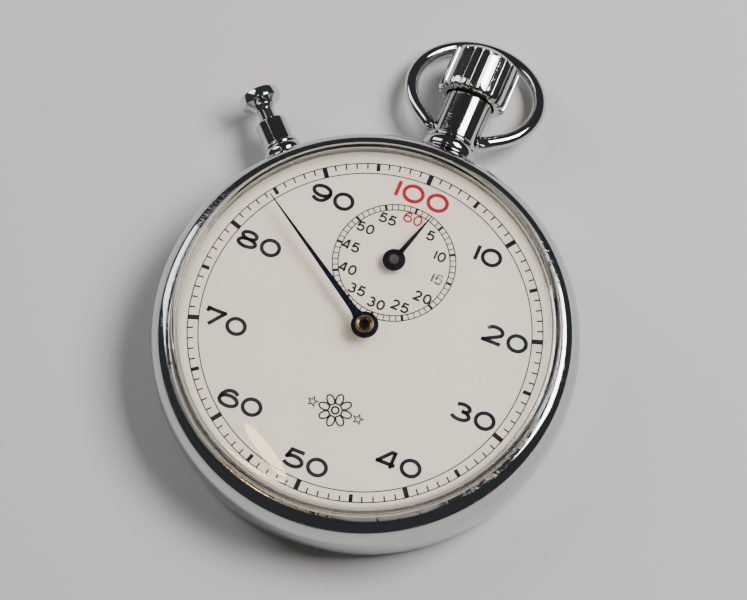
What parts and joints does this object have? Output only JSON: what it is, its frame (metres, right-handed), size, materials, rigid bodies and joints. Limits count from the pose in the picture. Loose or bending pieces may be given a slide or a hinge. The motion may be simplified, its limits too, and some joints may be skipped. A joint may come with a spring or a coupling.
{
  "type": "mechanical stopwatch",
  "caption": "Round crown-wound stopwatch with a domed crystal, decimal dial with sub-dial, bow over the crown and a side reset pusher.",
  "frame": {"origin": "centre of the case back's flat resting face, on the main hand's axis", "axes": "+Z out of the dial, +Y towards the crown at twelve o'clock, +X towards three o'clock"},
  "size_m": [0.0517, 0.0687, 0.0138],
  "materials": {
    "case_metal": "polished nickel-chrome",
    "crystal": "clear acrylic",
    "crown_metal": "polished, fluted",
    "dial_face": "matt off-white enamel",
    "blued_steel": "dark blued steel",
    "black_steel": "black lacquer",
    "brass": "turned brass",
    "gilt_brass": "gilt, matt",
    "steel": "polished steel",
    "spring_steel": "blued spring steel",
    "screw_steel": "polished steel",
    "jewel": "synthetic ruby"
  },
  "bodies": {
    "case": {"case_back": "case_metal", "case_middle": "case_metal", "bezel": "case_metal", "crystal": "crystal", "pendant_tube": "case_metal", "pusher_tube": "case_metal", "crown_spring": "spring_steel", "pusher_spring": "spring_steel", "dial": "dial_face", "main_plate": "gilt_brass", "barrel_bridge": "gilt_brass", "train_bridge": "gilt_brass", "plate_pillars": "brass", "balance_cock": "gilt_brass", "pallet_bridge": "gilt_brass", "jewels": "jewel", "movement_screws": "screw_steel", "lever_springs": "spring_steel", "hairspring": "spring_steel"},
    "winding_pinion": {"winding_pinion": "steel"},
    "crown_and_stem": {"crown": "crown_metal", "winding_stem": "steel"},
    "crown_wheel": {"crown_wheel": "steel"},
    "ratchet": {"ratchet_wheel": "steel", "ratchet_screw": "screw_steel", "barrel_arbor": "steel"},
    "click": {"click": "steel"},
    "barrel": {"barrel_drum": "brass", "barrel_cover": "brass", "mainspring": "spring_steel"},
    "second_wheel": {"second_wheel": "brass", "second_pinion": "steel"},
    "third_wheel": {"third_wheel": "brass", "third_pinion": "steel"},
    "fourth_wheel": {"fourth_wheel": "brass", "fourth_pinion": "steel"},
    "escape_wheel": {"escape_wheel": "brass", "escape_pinion": "steel"},
    "main_hand": {"main_hand": "blued_steel", "main_hand_collar": "brass", "seconds_arbor": "steel", "seconds_heart": "steel"},
    "minute_hand": {"minute_hand": "black_steel", "minute_arbor": "steel", "minute_heart": "steel"},
    "pallet_fork": {"pallet_fork": "steel", "pallet_stones": "jewel"},
    "balance": {"balance_wheel": "brass", "balance_staff": "steel", "roller": "steel", "hairspring_collet": "brass"},
    "index": {"index": "steel"},
    "pusher": {"pusher_stem": "steel", "pusher_cap": "case_metal", "pusher_clip": "spring_steel"},
    "reset_hammer": {"reset_hammer": "steel"},
    "start_lever": {"start_lever": "steel"},
    "column_wheel": {"column_wheel": "steel"},
    "brake_whip": {"brake_whip": "steel"},
    "bow": {"bow": "case_metal"}
  },
  "joints": [
    {"name": "crown_wind", "type": "hinge", "parent": "case", "child": "winding_pinion", "pos_m": [0, 0.0174, 0.0045], "axis": [0, 1, 0], "continuous": true},
    {"name": "crown_push", "type": "slide", "parent": "winding_pinion", "child": "crown_and_stem", "axis": [0, -1, 0], "range_m": [0, 0.001], "stiffness_N_per_m": 1500, "springref_m": -0.0015, "deforming": ["crown_spring"]},
    {"name": "crown_wheel_turn", "type": "hinge", "parent": "case", "child": "crown_wheel", "pos_m": [0, 0.0142, 0.0016], "axis": [0, 0, 1], "continuous": true},
    {"name": "ratchet_turn", "type": "hinge", "parent": "case", "child": "ratchet", "pos_m": [0.008, 0.01075, 0.0016], "axis": [0, 0, 1], "continuous": true, "deforming": ["mainspring"]},
    {"name": "click_swing", "type": "hinge", "parent": "case", "child": "click", "pos_m": [0.0153, 0.0059, 0.0016], "axis": [0, 0, 1], "range_deg": [-8, 0]},
    {"name": "fourth_wheel_turn", "type": "hinge", "parent": "case", "child": "fourth_wheel", "pos_m": [0, 0, 0.0042], "axis": [0, 0, -1], "continuous": true},
    {"name": "third_wheel_turn", "type": "hinge", "parent": "case", "child": "third_wheel", "pos_m": [-0.00477, 0.00356, 0.0057], "axis": [0, 0, -1], "continuous": true},
    {"name": "second_wheel_turn", "type": "hinge", "parent": "case", "child": "second_wheel", "pos_m": [0, 0.00895, 0.0066], "axis": [0, 0, -1], "continuous": true},
    {"name": "barrel_turn", "type": "hinge", "parent": "case", "child": "barrel", "pos_m": [0.008, 0.01075, 0.005], "axis": [0, 0, -1], "continuous": true},
    {"name": "escape_wheel_turn", "type": "hinge", "parent": "case", "child": "escape_wheel", "pos_m": [0.003, -0.00434, 0.0061], "axis": [0, 0, -1], "continuous": true},
    {"name": "main_hand_reset", "type": "hinge", "parent": "fourth_wheel", "child": "main_hand", "pos_m": [0, 0, 0.011], "axis": [0, 0, -1], "continuous": true},
    {"name": "minute_hand_reset", "type": "hinge", "parent": "second_wheel", "child": "minute_hand", "pos_m": [0, 0.00895, 0.0103], "axis": [0, 0, -1], "continuous": true},
    {"name": "pallet_swing", "type": "hinge", "parent": "case", "child": "pallet_fork", "pos_m": [0.00391, -0.00757, 0.0061], "axis": [0, 0, 1], "range_deg": [-5, 5]},
    {"name": "balance_swing", "type": "hinge", "parent": "case", "child": "balance", "pos_m": [0.0055, -0.0132, 0.0048], "axis": [0, 0, 1], "range_deg": [-270, 270], "deforming": ["hairspring"]},
    {"name": "index_turn", "type": "hinge", "parent": "case", "child": "index", "pos_m": [0.0055, -0.0132, 0.0022], "axis": [0, 0, 1], "range_deg": [-15, 15]},
    {"name": "reset_push", "type": "slide", "parent": "case", "child": "pusher", "axis": [0.7071, -0.7071, 0], "range_m": [0, 0.0013], "stiffness_N_per_m": 1500, "springref_m": -0.0015, "deforming": ["pusher_spring"]},
    {"name": "hammer_swing", "type": "hinge", "parent": "case", "child": "reset_hammer", "pos_m": [-0.0065, -0.012, 0.002], "axis": [0, 0, -1], "range_deg": [0, 5.6], "deforming": ["lever_springs"]},
    {"name": "start_lever_swing", "type": "hinge", "parent": "case", "child": "start_lever", "pos_m": [-0.0052, 0.0186, 0.0014], "axis": [0, 0, -1], "range_deg": [0, 14]},
    {"name": "column_wheel_turn", "type": "hinge", "parent": "case", "child": "column_wheel", "pos_m": [-0.009, 0.016, 0.0016], "axis": [0, 0, -1], "continuous": true},
    {"name": "brake_whip_swing", "type": "hinge", "parent": "case", "child": "brake_whip", "pos_m": [-0.0135, 0.0065, 0.0014], "axis": [0, 0, -1], "range_deg": [0, 3]},
    {"name": "bow_swing", "type": "hinge", "parent": "case", "child": "bow", "pos_m": [0, 0.029, 0.0045], "axis": [1, 0, 0], "range_deg": [-88, 119]}
  ],
  "couplings": [
    {"joint": "crown_wheel_turn", "follows": "crown_wind", "ratio": 0.7},
    {"joint": "ratchet_turn", "follows": "crown_wind", "ratio": -0.46667},
    {"joint": "third_wheel_turn", "follows": "fourth_wheel_turn", "ratio": -0.13333},
    {"joint": "second_wheel_turn", "follows": "fourth_wheel_turn", "ratio": 0.016667},
    {"joint": "barrel_turn", "follows": "fourth_wheel_turn", "ratio": -0.0027778},
    {"joint": "escape_wheel_turn", "follows": "fourth_wheel_turn", "ratio": -10},
    {"joint": "start_lever_swing", "follows": "crown_push", "rad_per_m": 232.13},
    {"joint": "hammer_swing", "follows": "reset_push", "rad_per_m": 73.841}
  ]
}
